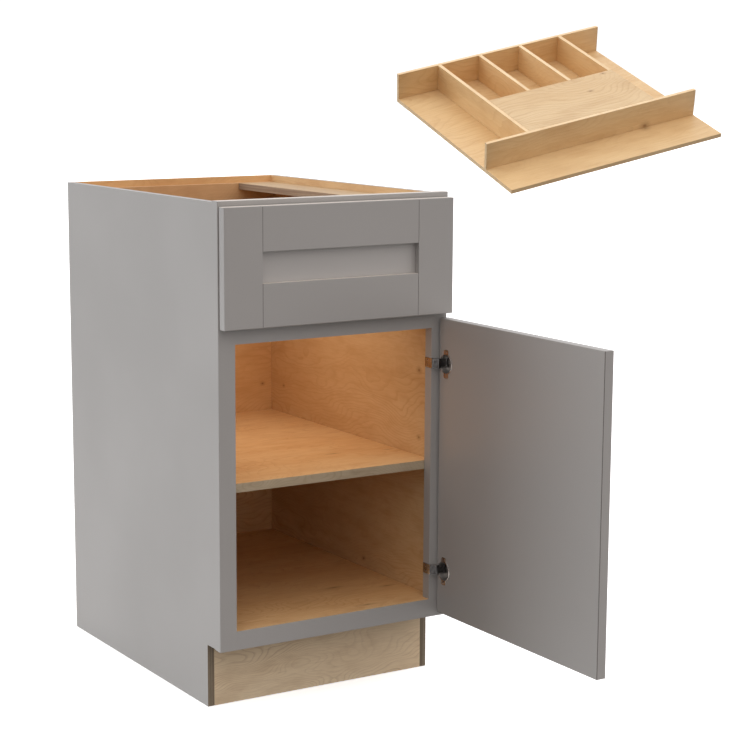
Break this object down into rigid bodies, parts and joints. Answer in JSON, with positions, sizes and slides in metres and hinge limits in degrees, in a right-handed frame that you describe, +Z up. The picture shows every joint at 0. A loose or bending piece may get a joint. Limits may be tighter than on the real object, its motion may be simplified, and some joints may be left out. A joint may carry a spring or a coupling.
{
  "type": "kitchen base cabinet",
  "caption": "Grey face-frame kitchen base cabinet with a drawer over a right-hinged door, a fixed shelf, an open top, a toe recess and a lift-out drawer insert.",
  "frame": {"origin": "on the floor, at the middle of the cabinet's rear face", "axes": "+X to the right seen from the front, +Y back towards the wall, +Z up"},
  "size_m": [0.4573, 1.0696, 0.8763],
  "materials": {
    "grey_painted_wood": "satin grey paint",
    "maple_plywood": "clear satin lacquer",
    "pale_maple": "clear satin lacquer",
    "nickel_plated_steel": "nickel plated",
    "zinc_plated_steel": "zinc plated",
    "clear_soft_plastic": "soft, translucent"
  },
  "bodies": {
    "cabinet": {"back_panel": "maple_plywood", "cabinet_floor": "maple_plywood", "frame_rail_bottom": "grey_painted_wood", "frame_rail_middle": "grey_painted_wood", "frame_rail_top": "grey_painted_wood", "frame_stile_left": "grey_painted_wood", "frame_stile_right": "grey_painted_wood", "hinge_arm_lower": "nickel_plated_steel", "hinge_arm_upper": "nickel_plated_steel", "hinge_plate_screws": "zinc_plated_steel", "rear_top_rail": "maple_plywood", "runner_batten_left": "maple_plywood", "runner_batten_right": "maple_plywood", "runner_cabinet_member_left": "zinc_plated_steel", "runner_cabinet_member_right": "zinc_plated_steel", "runner_cabinet_screws": "zinc_plated_steel", "shelf": "maple_plywood", "side_panel_left": "grey_painted_wood", "side_panel_right": "grey_painted_wood", "side_stretcher_left": "maple_plywood", "side_stretcher_right": "maple_plywood", "toe_board": "maple_plywood"},
    "door": {"door_panel": "grey_painted_wood", "door_rail_bottom": "grey_painted_wood", "door_rail_top": "grey_painted_wood", "door_stile_free": "grey_painted_wood", "door_stile_hinge": "grey_painted_wood", "hinge_cup_lower": "nickel_plated_steel", "hinge_cup_screws": "zinc_plated_steel", "hinge_cup_upper": "nickel_plated_steel", "hinge_pins": "nickel_plated_steel"},
    "drawer": {"drawer_bottom": "maple_plywood", "drawer_box_back": "maple_plywood", "drawer_box_front": "maple_plywood", "drawer_bumpers": "clear_soft_plastic", "drawer_front_panel": "grey_painted_wood", "drawer_front_rail_bottom": "grey_painted_wood", "drawer_front_rail_top": "grey_painted_wood", "drawer_front_stile_left": "grey_painted_wood", "drawer_front_stile_right": "grey_painted_wood", "drawer_screws": "zinc_plated_steel", "drawer_side_left": "maple_plywood", "drawer_side_right": "maple_plywood", "runner_drawer_member_left": "zinc_plated_steel", "runner_drawer_member_right": "zinc_plated_steel"},
    "drawer_insert": {"insert_base": "pale_maple", "insert_cross_wall": "pale_maple", "insert_divider_end": "pale_maple", "insert_divider_long": "pale_maple", "insert_divider_short_1": "pale_maple", "insert_divider_short_2": "pale_maple", "insert_panel": "pale_maple", "insert_wall_inset": "pale_maple", "insert_wall_outer": "pale_maple"},
    "runner_inner_cage_left": {"runner_inner_cage_left": "zinc_plated_steel"},
    "runner_inner_cage_right": {"runner_inner_cage_right": "zinc_plated_steel"},
    "runner_middle_member_left": {"runner_middle_member_left": "zinc_plated_steel"},
    "runner_middle_member_right": {"runner_middle_member_right": "zinc_plated_steel"},
    "runner_outer_cage_left": {"runner_outer_cage_left": "zinc_plated_steel"},
    "runner_outer_cage_right": {"runner_outer_cage_right": "zinc_plated_steel"}
  },
  "joints": [
    {"name": "door_hinge", "type": "hinge", "parent": "cabinet", "child": "door", "pos_m": [0.2208, -0.6218, 0.38765], "axis": [0, 0, 1], "range_deg": [-90, 5]},
    {"name": "drawer_slide", "type": "slide", "parent": "cabinet", "child": "drawer", "axis": [0, -1, 0], "range_m": [0, 0.52]},
    {"name": "insert_lift", "type": "slide", "parent": "drawer", "child": "drawer_insert", "axis": [0, 0, 1], "range_m": [0, 0.08]},
    {"name": "runner_inner_cage_left_slide", "type": "slide", "parent": "cabinet", "child": "runner_inner_cage_left", "axis": [0, -1, 0], "range_m": [0, 0.39]},
    {"name": "runner_inner_cage_right_slide", "type": "slide", "parent": "cabinet", "child": "runner_inner_cage_right", "axis": [0, -1, 0], "range_m": [0, 0.39]},
    {"name": "runner_middle_member_left_slide", "type": "slide", "parent": "cabinet", "child": "runner_middle_member_left", "axis": [0, -1, 0], "range_m": [0, 0.26]},
    {"name": "runner_middle_member_right_slide", "type": "slide", "parent": "cabinet", "child": "runner_middle_member_right", "axis": [0, -1, 0], "range_m": [0, 0.26]},
    {"name": "runner_outer_cage_left_slide", "type": "slide", "parent": "cabinet", "child": "runner_outer_cage_left", "axis": [0, -1, 0], "range_m": [0, 0.13]},
    {"name": "runner_outer_cage_right_slide", "type": "slide", "parent": "cabinet", "child": "runner_outer_cage_right", "axis": [0, -1, 0], "range_m": [0, 0.13]}
  ],
  "couplings": [
    {"joint": "runner_inner_cage_left_slide", "follows": "drawer_slide", "ratio": 0.75},
    {"joint": "runner_inner_cage_right_slide", "follows": "drawer_slide", "ratio": 0.75},
    {"joint": "runner_middle_member_left_slide", "follows": "drawer_slide", "ratio": 0.5},
    {"joint": "runner_middle_member_right_slide", "follows": "drawer_slide", "ratio": 0.5},
    {"joint": "runner_outer_cage_left_slide", "follows": "drawer_slide", "ratio": 0.25},
    {"joint": "runner_outer_cage_right_slide", "follows": "drawer_slide", "ratio": 0.25}
  ]
}
